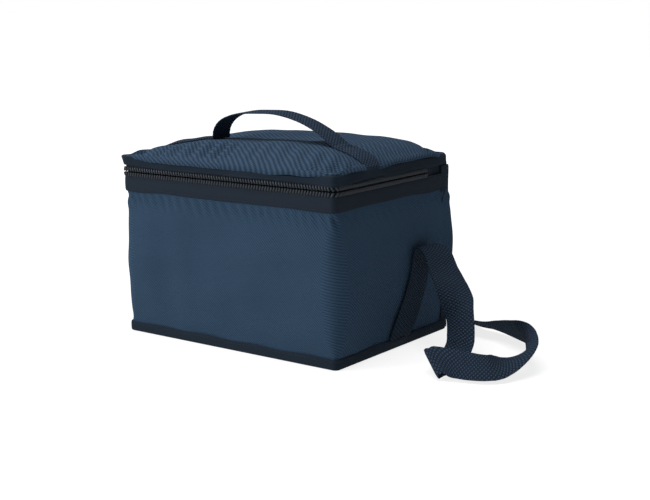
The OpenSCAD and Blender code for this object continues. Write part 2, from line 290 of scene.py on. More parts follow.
# ---------- outlines round the bag ----------
def outline(inset, radius, back_y=None):
    """Plan points and outward normals, one row for each inset; closed if back_y is None."""
    inset = np.atleast_1d(np.asarray(inset, float))
    radius = np.broadcast_to(np.asarray(radius, float), inset.shape)
    w, d = HALF_W - inset, HALF_D - inset
    r = np.maximum(radius - inset, 0.8)
    back_r = np.full_like(w, BACK_RADIUS)
    points, normals = [], []

    def line(x0, y0, x1, y1, way, n):
        t = np.arange(n) / n
        x0, y0, x1, y1 = (np.broadcast_to(v, w.shape)[:, None] for v in (x0, y0, x1, y1))
        points.append(np.stack([x0 + (x1 - x0) * t, y0 + (y1 - y0) * t], -1))
        normals.append(np.broadcast_to(np.array(way, float), (len(w), n, 2)))

    def arc(cx, cy, rr, a0, a1, n):
        a = np.radians(a0 + (a1 - a0) * np.arange(n) / n)
        way = np.stack([np.cos(a), np.sin(a)], -1)
        points.append(np.stack([cx, cy], -1)[:, None] + rr[:, None, None] * way)
        normals.append(np.broadcast_to(way, (len(w), n, 2)))

    top = d - back_r if back_y is None else back_y
    if back_y is None:
        line(0, d, back_r - w, d, (0, 1), BACK_N)
        arc(back_r - w, d - back_r, back_r, 90, 180, TURN_N)
    line(-w, top, -w, r - d, (-1, 0), SIDE_N)
    arc(r - w, r - d, r, 180, 270, ARC_N)
    line(r - w, -d, w - r, -d, (0, -1), FRONT_N)
    arc(w - r, r - d, r, 270, 360, ARC_N)
    line(w, r - d, w, top, (1, 0), SIDE_N)
    if back_y is None:
        arc(w - back_r, d - back_r, back_r, 0, 90, TURN_N)
        line(w - back_r, d, 0, d, (0, 1), BACK_N)
    else:
        line(w, top, w, top, (1, 0), 1)
    return np.concatenate(points, 1), np.concatenate(normals, 1)


def round_bag(profile, radius, back_y=None, move=None):
    """A grid swept round the bag; profile holds (inset, z), move gives extra shifts in mm."""
    profile = np.array(profile, float)
    flat, way = outline(profile[:, 0], radius, back_y)
    height = np.broadcast_to(profile[:, 1][:, None, None], flat.shape[:2] + (1,))
    grid = np.concatenate([flat, height], -1)
    out = np.concatenate([way, np.zeros(flat.shape[:2] + (1,))], -1)
    if move:
        grid = grid + move(grid, out)
    s = lengths(np.concatenate([flat[0], flat[0][:1]]) if back_y is None else flat[0])
    v = lengths(profile)
    return grid, out, weave_grid(s, v)


def wall(name, profile, thickness, radius=END_RADIUS, back_y=None, move=None):
    """A strip of cloth or tape that runs round the bag, and the grid of its middle."""
    grid, out, uv = round_bag(profile, radius, back_y, move)
    return slab(name, grid, thickness, uv, loop=back_y is None), grid, out


def upright(inset, low, high, step):
    """A profile that stands straight up."""
    z = np.linspace(low, high, max(4, int((high - low) / step)))
    return np.stack([np.full_like(z, inset), z], -1)


def body_radius(z):
    t = np.clip((z - base_tape_hi[2]) / (band_lo[2] - base_tape_hi[2]), 0, 1)
    return END_RADIUS + (BODY_RADIUS - END_RADIUS) * np.sin(np.pi * t) ** 0.8


def near_corner(x, y, start_x, start_y, end=0):
    """0 away from the bag's corners, rising to 1 between two distances from its sides."""
    return (rise(np.abs(x), HALF_W - start_x, HALF_W - end)
            * rise(np.abs(y), HALF_D - start_y, HALF_D - end))


def front_middle(x, y):
    """1 along the front edge, 0 behind it and near its two corners."""
    return rise(-y, HALF_D - 8, HALF_D - 2) * (1 - rise(np.abs(x), 70, 98))


# ---------- materials ----------
class Shader:
    """Short words for building one node material."""

    def __init__(self, name):
        self.material = bpy.data.materials.new(name)
        self.material.use_nodes = True
        self.tree = self.material.node_tree
        self.surface = self.tree.nodes["Principled BSDF"]

    def node(self, kind, **inputs):
        made = self.tree.nodes.new(kind)
        for key, value in inputs.items():
            self.put(made.inputs[key.replace("_", " ")], value)
        return made

    def put(self, socket, value):
        if isinstance(value, bpy.types.NodeSocket):
            self.tree.links.new(value, socket)
        else:
            socket.default_value = value

    def set(self, name, value):
        self.put(self.surface.inputs[name], value)

    def math(self, how, *values):
        made = self.tree.nodes.new("ShaderNodeMath")
        made.operation = how
        for socket, value in zip(made.inputs, values):
            self.put(socket, value)
        return made.outputs[0]

    def weave_map(self):
        at = self.tree.nodes.new("ShaderNodeUVMap")
        at.uv_map = "Weave"
        split = self.node("ShaderNodeSeparateXYZ", Vector=at.outputs[0])
        return split.outputs[0], split.outputs[1]

    def threads(self, u, v, angle, period):
        """Ridges across the map at an angle in degrees, from 0 to 1."""
        turn = 2 * math.pi / period
        a = self.math("MULTIPLY", u, math.cos(math.radians(angle)) * turn)
        b = self.math("MULTIPLY", v, math.sin(math.radians(angle)) * turn)
        wave = self.math("SINE", self.math("ADD", a, b))
        return self.math("MULTIPLY_ADD", wave, 0.5, 0.5)

    def place(self):
        return self.tree.nodes.new("ShaderNodeTexCoord").outputs["Object"]

    def noise(self, scale, detail=3):
        made = self.node("ShaderNodeTexNoise", Vector=self.place(), Scale=scale, Detail=detail)
        return made.outputs[0]

    def cells(self, scale):
        return self.node("ShaderNodeTexVoronoi", Vector=self.place(), Scale=scale).outputs[0]

    def blend_colours(self, factor, one, two):
        made = self.tree.nodes.new("ShaderNodeMix")
        made.data_type = "RGBA"
        self.put(made.inputs[0], factor)
        self.put(made.inputs[6], one)
        self.put(made.inputs[7], two)
        return made.outputs[2]

    def relief(self, height, strength, distance):
        made = self.node("ShaderNodeBump", Height=height, Strength=strength, Distance=distance)
        self.tree.links.new(made.outputs[0], self.surface.inputs["Normal"])


CLOTH_ROUGHNESS = 0.85
WEBBING_DEPTH, WEBBING_SHEEN = 0.0012, 0.01


def cloth(name, colour, weave, period, angle, painted_weave_contrast, depth, sheen=0.02):
    """Woven fabric: threads at a real pitch in mm, uneven dye and a soft sheen, with painted shade in the
    weave's low gaps and a painted highlight on its raised threads.
    """
    s = Shader(name)
    u, v = s.weave_map()
    if weave == "twill":
        ridge = s.threads(u, v, angle, period)
        cross = s.threads(u, v, angle + 90, period * 0.62)
        height = s.math("ADD", s.math("MULTIPLY", ridge, 0.66), s.math("MULTIPLY", cross, 0.34))
    elif weave == "basket":
        one = s.threads(u, v, angle, period)
        two = s.threads(u, v, -angle, period)
        height = s.math("POWER", s.math("MULTIPLY", one, two), 0.6)
    else:
        ridge = s.threads(u, v, 90, period)
        cross = s.threads(u, v, 0, period * 0.8)
        height = s.math("ADD", s.math("MULTIPLY", ridge, 0.75), s.math("MULTIPLY", cross, 0.25))
    fuzz = s.noise(2600, 2)
    height = s.math("ADD", s.math("MULTIPLY", height, 0.82), s.math("MULTIPLY", fuzz, 0.18))
    dye = s.noise(26, 4)
    # painted light: the raised threads get a lighter colour as a painted highlight, and the weave's low
    # gaps a darker one as painted shade
    light = [min(1, c * (1 + 1.25 * painted_weave_contrast)) for c in colour] + [1]
    painted_gap_shade = [c * (1 - painted_weave_contrast) for c in colour] + [1]
    thread = s.blend_colours(height, painted_gap_shade, light)
    worn = s.blend_colours(0.5, thread, [1.12 * c + 0.004 for c in colour] + [1])
    s.set("Base Color", s.blend_colours(s.math("MULTIPLY", dye, 0.55), thread, worn))
    s.set("Roughness", s.math("MULTIPLY_ADD", dye, 0.12, CLOTH_ROUGHNESS - 0.06))
    s.set("Specular IOR Level", 0.12)
    s.set("Sheen Weight", sheen)
    s.set("Sheen Roughness", 0.45)
    s.relief(height, 0.75, depth)
    return s.material


def foil(name):
    """Foil-faced film with fine crinkles."""
    s = Shader(name)
    cells = s.cells(190.0)
    soft = s.noise(60, 4)
    height = s.math("ADD", s.math("MULTIPLY", cells, 0.6), s.math("MULTIPLY", soft, 0.8))
    s.set("Base Color", s.blend_colours(soft, (0.62, 0.63, 0.65, 1), (0.84, 0.85, 0.87, 1)))
    s.set("Metallic", 0.85)
    s.set("Roughness", s.math("MULTIPLY_ADD", soft, 0.2, 0.22))
    s.relief(height, 0.5, 0.0006)
    return s.material


def foam_material(name):
    """Closed-cell foam with small cells."""
    s = Shader(name)
    cells = s.cells(1100.0)
    s.set("Base Color", s.blend_colours(cells, (0.8, 0.81, 0.8, 1), (0.9, 0.91, 0.9, 1)))
    s.set("Roughness", 0.9)
    s.relief(cells, 0.4, 0.0003)
    return s.material


def metal(name, colour):
    """Dark painted zinc with a little wear."""
    s = Shader(name)
    wear = s.noise(420, 5)
    spots = s.math("POWER", wear, 3.0)
    s.set("Base Color", s.blend_colours(spots, colour + (1,), tuple(3 * c + 0.02 for c in colour) + (1,)))
    s.set("Metallic", 0.6)
    s.set("Roughness", s.math("MULTIPLY_ADD", wear, 0.25, 0.25))
    s.relief(wear, 0.15, 0.0001)
    return s.material


def nylon(name, colour):
    """Moulded nylon, slightly glossy and uneven."""
    s = Shader(name)
    grain = s.noise(900, 3)
    s.set("Base Color", s.blend_colours(grain, tuple(0.75 * c for c in colour) + (1,),
                          tuple(1.35 * c for c in colour) + (1,)))
    s.set("Roughness", s.math("MULTIPLY_ADD", grain, 0.2, 0.38))
    s.relief(grain, 0.2, 0.0001)
    return s.material


SHELL = cloth("shell_cloth", (0.036, 0.074, 0.130), "twill", 1.7, 50, 0.5, 0.0005)
LID = cloth("lid_cloth_weave", (0.031, 0.060, 0.104), "twill", 3.1, 52, 0.75, 0.0009)
TAPE_CLOTH = cloth("binding_cloth", (0.017, 0.028, 0.045), "twill", 1.1, 35, 0.4, 0.0003)
BAND_CLOTH = cloth("band_cloth", (0.019, 0.029, 0.044), "twill", 1.3, 40, 0.45, 0.0003)
ZIP_CLOTH = cloth("zip_cloth", (0.018, 0.028, 0.042), "ribs", 1.0, 0, 0.45, 0.0003)
WEBBING = cloth("webbing_weave", (0.023, 0.041, 0.071), "basket", 2.2, 55, 0.85, WEBBING_DEPTH,
                WEBBING_SHEEN)
# the handle's webbing: the strap's webbing painted about a fifth lighter, as painted light on the lid's
# top
HANDLE_WEB_PAINTED_LIGHTER = cloth("handle_weave_painted_lighter", (0.029, 0.050, 0.086), "basket", 2.2, 55, 0.85, WEBBING_DEPTH,
                   WEBBING_SHEEN)
THREAD = cloth("thread", (0.030, 0.042, 0.060), "ribs", 0.4, 0, 0.2, 0.0001)
NYLON = nylon("coil_nylon", (0.028, 0.037, 0.050))
METAL = metal("painted_zinc", (0.02, 0.025, 0.035))
FOIL = foil("foil_lining")
FOAM = foam_material("foam_cells")


# ---------- camera, light and floor ----------
AZIMUTH, ELEVATION, ROLL = 37.2, 11.3, 0.74            # degrees
EYE_BACK, EYE_RIGHT, EYE_UP = 1.051, 0.0315, 0.0636    # metres from the origin
LENS, SENSOR = 71.83, 36                               # mm
SURROUND_LIGHT, SURROUND_SEEN = 0.12, 1.0
FLOOR_REACH = 4.0
NEAR, FAR = 0.2, 0.75                                  # distances between which the glow grows
NEAR_GLOW, FAR_GLOW = 0.80, 1.0
LIGHT_SHARE = 0.38                                     # share of the floor's glow that gives light


def camera():
    """The photograph's view: a slightly raised view of the front and the right side."""
    azimuth, elevation, roll = map(math.radians, (AZIMUTH, ELEVATION, ROLL))
    back = Vector((math.sin(azimuth) * math.cos(elevation),
                   -math.cos(azimuth) * math.cos(elevation), math.sin(elevation)))
    right = Vector((math.cos(azimuth), math.sin(azimuth), 0))
    up = back.cross(right)
    side = right * math.cos(roll) - up * math.sin(roll)
    head = right * math.sin(roll) + up * math.cos(roll)
    place = back * EYE_BACK + right * EYE_RIGHT + up * EYE_UP
    data = bpy.data.cameras.new("camera")
    data.lens = LENS
    data.sensor_width = SENSOR
    data.clip_start = 0.01
    eye = bpy.data.objects.new("camera", data)
    eye.matrix_world = Matrix(((side.x, head.x, back.x, place.x), (side.y, head.y, back.y, place.y),
                               (side.z, head.z, back.z, place.z), (0, 0, 0, 1)))
    show(eye)
    bpy.context.scene.camera = eye


def softbox(name, place, target, size, power):
    data = bpy.data.lights.new(name, "AREA")
    data.size = size
    data.energy = power
    lamp = bpy.data.objects.new(name, data)
    lamp.location = place
    lamp.rotation_euler = (Vector(target) - Vector(place)).to_track_quat("-Z", "Y").to_euler()
    show(lamp)


def surround():
    """A surround that is white to the eye but gives little light."""
    world = bpy.data.worlds.new("surround")
    bpy.context.scene.world = world
    world.use_nodes = True
    nodes, links = world.node_tree.nodes, world.node_tree.links
    dim, seen = nodes["Background"], nodes.new("ShaderNodeBackground")
    for light, strength in ((dim, SURROUND_LIGHT), (seen, SURROUND_SEEN)):
        light.inputs["Color"].default_value = (1, 1, 1, 1)
        light.inputs["Strength"].default_value = strength
    which = nodes.new("ShaderNodeLightPath")
    mix = nodes.new("ShaderNodeMixShader")
    links.new(which.outputs["Is Camera Ray"], mix.inputs[0])
    links.new(dim.outputs[0], mix.inputs[1])
    links.new(seen.outputs[0], mix.inputs[2])
    links.new(mix.outputs[0], nodes["World Output"].inputs["Surface"])


def white_floor():
    """A pale floor with a glow that grows with distance."""
    mesh = bpy.data.meshes.new("floor")
    reach = FLOOR_REACH
    mesh.from_pydata([(-reach, -reach, 0), (reach, -reach, 0), (reach, reach, 0),
                      (-reach, reach, 0)], [], [(0, 1, 2, 3)])
    floor = show(bpy.data.objects.new("floor", mesh))
    s = Shader("floor")
    grain = s.noise(3, 2)
    s.set("Base Color", s.blend_colours(grain, (0.34, 0.34, 0.34, 1), (0.37, 0.37, 0.37, 1)))
    s.set("Roughness", 1.0)
    s.set("Specular IOR Level", 0.0)
    s.set("Emission Color", (1, 1, 1, 1))
    far = s.tree.nodes.new("ShaderNodeVectorMath")
    far.operation = "LENGTH"
    s.put(far.inputs[0], s.place())
    glow = s.node("ShaderNodeMapRange", Value=far.outputs["Value"])
    for key, value in (("From Min", NEAR), ("From Max", FAR), ("To Min", NEAR_GLOW),
                       ("To Max", FAR_GLOW)):
        s.put(glow.inputs[key], value)
    path = s.tree.nodes.new("ShaderNodeLightPath").outputs["Is Camera Ray"]
    share = s.math("MULTIPLY_ADD", path, 1 - LIGHT_SHARE, LIGHT_SHARE)
    s.set("Emission Strength", s.math("MULTIPLY", glow.outputs[0], share))
    mesh.materials.append(s.material)


def studio():
    """Soft light from the front left and from above, in a white surround."""
    bpy.context.scene.view_settings.view_transform = "Standard"
    surround()
    softbox("key", (-1.05, -1.35, 0.75), (0, 0, 0.08), 0.6, 14.5)
    softbox("top", (-0.1, -0.1, 1.7), (0, 0, 0), 1.1, 19)
    white_floor()


# ---------- shoulder strap ----------
# The strap's route, as in the CAD model, in metres: place, then the line across it
STRAP_ROUTE = [
    (.106, .009, .012, 0, 1, 0), (.106, .024, .034, 0, 3, -1), (.107, .031, .054, 0, 1, 0),
    (.109, .035, .073, 0, 1, 0), (.120, .034, .072, 1, 3, 0), (.132, .026, .061, 1, 2, 0),
    (.146, .016, .050, 1, 1, 0), (.158, .006, .036, 3, 0, 1), (.165, -.003, .018, 6, -1, 0),
    (.165, -.009, .009, 6, -1, 0), (.165, -.022, .005, 4, 0, -1),
    (.165, -.036, .008, 4, -2, -3), (.166, -.044, .009, 3, -2, -2),
    (.168, -.046, .011, 3, -2, -2), (.171, -.043, .012, 3, -2, -2),
    (.184, -.038, .010, 2, -4, -3), (.203, -.031, .009, 2, -3, -2),
    (.209, -.016, .009, 4, -2, -1), (.212, .004, .012, 4, 0, 2), (.208, .022, .013, 1, 0, 2),
    (.197, .039, .013, 0, 0, 1), (.182, .055, .012, -1, -1, 2), (.164, .068, .009, -1, -2, 2),
    (.145, .074, .008, 0, -2, 1), (.125, .079, .007, -1, -2, 1), (.105, .092, .005, -1, -3, 1),
    (.080, .098, .004, 0, -5, 1), (.050, .098, .002, 0, -1, 0), (.020, .095, .007, 0, -2, 1),
    (-.010, .093, .012, 0, -1, 2), (-.040, .095, .014, 0, 0, 1), (-.080, .107, .014, 0, 0, 1),
    (-.115, .115, .014, 0, 0, 1), (-.140, .106, .014, 0, 0, 1), (-.152, .082, .013, -1, 0, 2),
    (-.148, .056, .017, -1, 0, 0), (-.136, .038, .042, -4, -3, 0),
    (-.122, .030, .064, -1, -2, 0), (-.111, .027, .072, 0, -1, 0),
    (-.107, .021, .056, 0, -1, 0), (-.106, .005, .015, 0, -2, 1)]
STRAP_W, STRAP_T = 25.0, 1.6


def webbing_rings(middle, across, normal, width, thickness):
    """Rounded flat sections with slightly toothed edges, and their weave map."""
    t = np.concatenate([np.linspace(-1, 1, 9), np.linspace(1, -1, 9)])
    side = np.concatenate([np.full(9, 1.0), np.full(9, -1.0)])
    thin = 0.5 + 0.5 * (1 - np.abs(t) ** 6) ** 0.5
    s = lengths(middle)
    tooth = 1 - 0.012 * (0.5 + 0.5 * np.sin(s * 2 * np.pi / 3.8))
    rings = (middle[:, None] + across[:, None] * (t * width / 2)[None, :, None] * tooth[:, None, None]
             + normal[:, None] * (side * thin * thickness / 2)[None, :, None])
    u = np.append(t * width / 2, width / 2 + 1)
    return rings, weave_grid(u, s)


def shoulder_strap():
    route = [(*(np.array(p[:3]) / MM), *(np.array(p[3:]) / np.linalg.norm(p[3:])))
             for p in STRAP_ROUTE]
    # both ends run down behind the base binding
    tuck_x = HALF_W + 0.3
    route.insert(0, (tuck_x, route[0][1] - 4, 4, 0, 1, 0))
    route.append((-tuck_x, route[-1][1] - 4, 4, 0, -1, 0))
    curve = smooth_path(route, 7)
    middle, across = curve[:, :3], unit(curve[:, 3:])
    along = unit(np.gradient(middle, axis=0))
    facing = np.cross(along, across)
    slant = np.linalg.norm(facing, axis=1, keepdims=True)
    across, normal = across / slant, facing / slant
    waver = 0.35 * ripple(middle, 38, 21)[:, None]
    middle = middle + normal * waver * rise(middle[:, 2:3], 12, 30)
    rings, uv = webbing_rings(middle, across, normal, STRAP_W, STRAP_T)
    strap = dress(tube("strap_webbing", rings, uv), WEBBING, "bag", ["shoulder_strap"])


# ---------- body ----------
BULGE, DENT, WRINKLE = 1.6, 1.9, 0.6         # depths in mm, the last two with their wavelengths
DENT_WAVE, WRINKLE_WAVE = 88, 34
GATHER, GATHER_PITCH = 1.0, 8.5              # under the zip's band
TUCK, ROOT_DENT, SEAM_GROOVE = 0.5, 1.3, 0.9


def body_swell(grid):
    """The large bulges and dents that the fabric, foam and lining share, and how free they are."""
    t = np.clip((grid[..., 2] - base_tape_hi[2]) / (band_lo[2] - base_tape_hi[2]), 0, 1)
    free = np.sin(np.pi * t) ** 0.55
    dents = DENT * free * ripple(grid, DENT_WAVE, 3)
    return BULGE * free + dents + WRINKLE * free * ripple(grid, WRINKLE_WAVE, 5), free


def body_move(grid, out):
    """How the outer fabric bulges, dents, gathers under the band and tucks in at the base."""
    x, y, z = grid[..., 0], grid[..., 1], grid[..., 2]
    soft, free = body_swell(grid)
    upper = bump(z, band_lo[2] - 6, 7) * rise(band_lo[2] - z, -0.5, 2.5)
    lean = 6 * np.sin(x / 31 + y / 27)
    slant = x + y + 0.55 * (z + lean)
    gather = np.sin(2 * np.pi * slant / GATHER_PITCH + 1.2 * ripple(grid, 40, 9))
    soft += GATHER * upper * gather
    lower = bump(z, base_tape_hi[2] + 4, 5)
    soft -= TUCK * lower * (1 + 0.5 * ripple(grid, 24, 11))
    root = bump(y, 10, 15) * bump(z, 16, 13) * rise(np.abs(x), HALF_W - 12, HALF_W - 2)
    soft -= ROOT_DENT * root * free
    groove = bump(y, side_tape_lo[1] + 1, 4) * rise(np.abs(x), HALF_W - 12, HALF_W - 2)
    soft -= SEAM_GROOVE * groove * free
    hidden = (z < base_tape_hi[2]) | (z > band_lo[2])
    soft = np.where(hidden, np.minimum(soft, 0), soft)
    return out * soft[..., None]


def body_cloth():
    profile = upright(FABRIC / 2, wrap_lo[2], wrap_hi[2], 1.9)
    radius = body_radius(profile[:, 1])
    piece, _, _ = wall("body_cloth", profile, FABRIC, radius, wrap_hi[1] - 0.4, body_move)
    dress(piece, SHELL, "bag", ["outer_wrap"])


def plan_wall(name, path, low, high, thickness, move=None, step=2.2):
    """A strip that stands on a path in plan."""
    path = np.array(path, float)
    z = np.linspace(low, high, max(5, int((high - low) / step)))
    flat = np.broadcast_to(path[None], (len(z), len(path), 2))
    grid = np.concatenate([flat, np.broadcast_to(z[:, None, None], (len(z), len(path), 1))], -1)
    if move:
        grid = grid + move(grid)
    return slab(name, grid, thickness, weave_grid(lengths(path), z - low)), grid


def back_cloth():
    """The back panel, with its side edges turned out into the back seams."""
    edge = HALF_W - 1.25
    y = HALF_D - FABRIC / 2
    turn = [(-edge, side_tape_hi[1] - 1.1), (-edge, HALF_D + 0.6), (-edge + 0.4, y + 0.25),
            (-edge + 1.2, y)]
    middle = [(x, y) for x in np.linspace(-edge + 4, edge - 4, 84)]
    path = turn + middle + [(-px, py) for px, py in reversed(turn)]

    def move(grid):
        x, z = grid[..., 0], grid[..., 2]
        free = np.sin(np.pi * np.clip((z - 8) / (back_hi[2] - 8), 0, 1)) ** 0.6
        free = free * rise(edge - np.abs(x), 1, 14)
        out = free * (1.3 + 0.8 * ripple(grid, 80, 31) + 0.25 * ripple(grid, 26, 33))
        return np.stack([0 * out, out, 0 * out], -1)

    piece, _ = plan_wall("back_cloth", path, back_lo[2], lid_tape_lo[2] + 1.5, FABRIC, move)
    dress(piece, SHELL, None, ["back_panel"])
    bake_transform(piece)


def capped(name, rim, height, thickness, rings, radius=END_RADIUS, move=None):
    """A sheet that closes the bag's outline: rim profile first, then rings to the centre."""
    rim = np.array(rim, float)
    grid, out, _ = round_bag(rim, radius)
    if move:
        grid = grid + move(grid, out)
    inner = outline(rim[-1, 0], radius)[0][0]
    shrink = 1 - np.linspace(0, 1, rings + 1)[1:] ** 0.9
    shrink[-1] = 0.002
    flat = inner[None] * shrink[:, None, None]
    top = height(flat[..., 0], flat[..., 1])[..., None]
    grid = np.concatenate([grid, np.concatenate([flat, top], -1)])
    at = grid[..., :2]
    drop = grid[..., 2:] * 0
    drop[:len(rim), :, 0] = (np.arange(len(rim))[::-1] * 1.0)[:, None]
    uv = at + np.sign(at) * drop
    uv = np.concatenate([uv, uv[:, :1]], 1)
    return slab(name, grid, thickness, uv, loop=True)


def base_pieces():
    seam = HALF_W - base_hi[0] + FABRIC / 2
    z = base_hi[2] - FABRIC / 2
    sag = lambda x, y: z + 0.12 * plan_ripple(x, y, 60, 41)
    piece = capped("base_cloth", [(seam, base_lo[2]), (seam, z - 0.7), (seam + 0.3, z - 0.15),
                                        (seam + 1.2, z)], sag, FABRIC, 26)
    dress(piece, SHELL, "bag", ["base_panel"])
    middle = (base_foam_lo[2] + base_foam_hi[2]) / 2
    thick = base_foam_hi[2] - base_foam_lo[2]
    inset = HALF_W - base_foam_hi[0]
    level = lambda x, y: middle + 0 * x
    pad = capped("foam_base", [(inset, middle), (inset + 0.8, middle), (inset + 2, middle)],
                       level, thick, 14)
    dress(pad, FOAM, "bag", ["base_foam"])
    low = (base_lining_lo[2] + base_lining_hi[2]) / 2
    inset = HALF_W - base_lining_hi[0]
    crinkle = lambda x, y: low + 0.3 + 0.22 * plan_ripple(x, y, 17, 43)
    piece = capped("lining_base", [(inset, low), (inset + 0.5, low), (inset + 1.5, low + 0.1)],
                   crinkle, FILM, 40)
    dress(piece, FOIL, "bag", ["base_lining"])


def follow_cloth(grid, out):
    """How the foam and the lining behind the outer fabric give way to its dents."""
    swell, free = body_swell(grid)
    return out * (np.minimum(swell, 1.2) - 1.5 * free)[..., None]


def inner_walls():
    """Foam and foil lining on the front and the sides."""
    thick = 2.2
    inset = HALF_W - lining_hi[0] - thick / 2 - 0.05
    profile = upright(inset, foam_lo[2], foam_hi[2], 3)
    pad, _, _ = wall("foam_wall", profile, thick, body_radius(profile[:, 1]), foam_hi[1],
                     follow_cloth)
    dress(pad, FOAM, "bag", ["wrap_foam"])

    inset = HALF_W - lining_hi[0] + FILM / 2
    top = foam_hi[2]
    profile = np.concatenate([upright(inset, lining_lo[2], top - 1, 2.4),
                              [(inset - 0.1, top + 0.1), (inset - 0.8, top + 0.4),
                               (inset - 2.9, top + 0.45)]])

    def crinkle(grid, out):
        free = rise(grid[..., 2], lining_lo[2], lining_lo[2] + 8) * rise(-grid[..., 2], -top, 8 - top)
        size = free * (-0.6 + 0.3 * ripple(grid, 19, 51) + 0.2 * ripple(grid, 55, 53))
        return follow_cloth(grid, out) + out * size[..., None]

    radius = np.concatenate([body_radius(profile[:-3, 1]), np.full(3, END_RADIUS)])
    piece, _, _ = wall("lining_wall", profile, FILM, radius, lining_hi[1], crinkle)
    dress(piece, FOIL, "bag", ["wrap_lining"])


def inner_back():
    """Foam and foil lining on the back."""
    y = (back_foam_lo[1] + back_foam_hi[1]) / 2
    across = [(x, y) for x in np.linspace(back_foam_lo[0], back_foam_hi[0], 30)]
    pad, _ = plan_wall("foam_back", across, back_foam_lo[2], back_foam_hi[2],
                       back_foam_hi[1] - back_foam_lo[1], step=5)
    dress(pad, FOAM, "bag", ["back_foam"])

    y = (back_lining_lo[1] + back_lining_hi[1]) / 2
    across = [(x, y) for x in np.linspace(back_lining_lo[0], back_lining_hi[0], 90)]

    def back_crinkle(grid):
        free = rise(back_lining_hi[2] - grid[..., 2], 0, 6)
        size = free * (-0.4 + 0.3 * ripple(grid, 19, 55))
        lip = rise(grid[..., 2], back_lining_hi[2] - 1.2, back_lining_hi[2])
        return np.stack([0 * size, size + 3 * lip, 0.35 * lip], -1)

    piece, _ = plan_wall("lining_back", across, back_lining_lo[2], back_lining_hi[2] + 0.3, FILM,
                         back_crinkle, step=1.6)
    dress(piece, FOIL, "bag", ["back_lining"])


# ---------- tapes and their stitches ----------
def stitch_row(name, path, out, body, pitch=3.0, length=2.0, lift=0.5, thread=0.22):
    """Small real stitches that follow a path on a tape."""
    s = lengths(path)
    at = np.arange(1.0, s[-1] - length, pitch)
    way = resample(np.concatenate([path, out], 1), at)[:, 3:]
    starts = resample(path, at) + unit(way) * lift
    ends = resample(path, at + length) + unit(way) * lift
    dress(capsules(name, starts, ends, thread), THREAD, body)


def loop_path(grid, out, row):
    """One row of a closed grid as a closed path, with its normals."""
    path, way = grid[row], out[row]
    return np.concatenate([path, path[:1]]), np.concatenate([way, way[:1]])


def base_binding():
    top = base_tape_hi[2]
    inner = HALF_W - base_hi[0] + FABRIC + 0.55
    profile = ([(TAPE_IN, z) for z in np.linspace(top, 1.4, 8)]
               + [(TAPE_IN + 0.12, 0.85), (0.1, 0.5), (0.7, 0.48), (inner - 0.5, 0.5),
                  (inner - 0.1, 0.9), (inner, 1.5), (inner, 2.4)])

    def move(grid, out):
        x, y, z = grid[..., 0], grid[..., 1], grid[..., 2]
        leg = rise(z, 1.2, top)
        soft = leg * (0.3 * ripple(grid, 34, 61) + 0.15 * ripple(grid, 13, 63)) + 0.25 * bump(z, 4.5, 3)
        strap = bump(y, 5, 14) * (np.abs(x) > HALF_W - 6) * leg
        shift = out * (soft + 1.9 * strap)[..., None]
        shift[..., 2] += 0.35 * leg * ripple(grid, 46, 65)
        return shift

    piece, grid, out = wall("base_tape", profile, TAPE, END_RADIUS, None, move)
    dress(piece, TAPE_CLOTH, "bag", ["base_binding"])
    stitch_row("base_stitches", *loop_path(grid, out, 2), "bag")


def back_bindings():
    for side, name in ((-1, "left"), (1, "right")):
        outer, inner = HALF_W + 0.52, side_tape_lo[0] + TAPE / 2
        end = side_tape_hi[1] - TAPE / 2
        plan = ([(outer, y) for y in np.linspace(side_tape_lo[1], end - 0.9, 6)]
                + [(outer - 0.3, end - 0.2), (outer - 1.0, end), (inner + 0.9, end),
                   (inner + 0.25, end - 0.25)]
                + [(inner, y) for y in np.linspace(end - 0.9, HALF_D + 0.1, 3)])
        plan = [(side * x, y) for x, y in plan]

        def move(grid, seed=70 + side):
            soft = 0.35 * ripple(grid, 42, seed) + 0.15 * ripple(grid, 15, seed + 4)
            leg = rise(grid[..., 1], side_tape_lo[1] - 1, side_tape_lo[1] + 5)
            return np.stack([side * soft * (1 - 0.5 * leg), 0.3 * soft, 0 * soft], -1)

        piece, grid = plan_wall("back_tape_" + name, plan, side_tape_lo[2], side_tape_hi[2],
                                TAPE, move)
        dress(piece, TAPE_CLOTH, "bag", ["back_binding_" + name])
        path = grid[:, 1]
        stitch_row("back_stitches_" + name, path, np.tile([side, 0.0, 0.0], (len(path), 1)), "bag")


def zip_band():
    low, high = band_lo[2], band_hi[2]
    profile = upright(TAPE_IN, low, high, 1.5)

    def move(grid, out):
        z = grid[..., 2]
        t = (z - low) / (high - low)
        bow = 0.35 * np.sin(np.pi * t) + 0.3 * ripple(grid, 55, 81)
        shift = out * bow[..., None]
        shift[..., 2] += (1 - t) * 0.5 * ripple(grid, 48, 83) + t * 0.2 * ripple(grid, 60, 85)
        return shift

    piece, grid, out = wall("zip_band", profile, TAPE, END_RADIUS, band_hi[1], move)
    dress(piece, BAND_CLOTH, "bag", ["body_zip_band"])
    stitch_row("band_stitches_low", grid[1], out[1], "bag")
    stitch_row("band_stitches_top", grid[-2], out[-2], "bag")


def zip_tapes():
    thick = 0.6
    for name, body, node, low, high in (
            ("zip_tape_low", "bag", "zip_tape_lower", tape_lo[2], tape_hi[2]),
            ("zip_tape_up", "lid", "zip_tape_upper", tape_up_lo[2], tape_up_hi[2])):
        profile = upright(thick / 2, low, high, 1.4)
        piece, _, _ = wall(name, profile, thick, END_RADIUS, tape_hi[1])
        dress(piece, ZIP_CLOTH, body, [node])


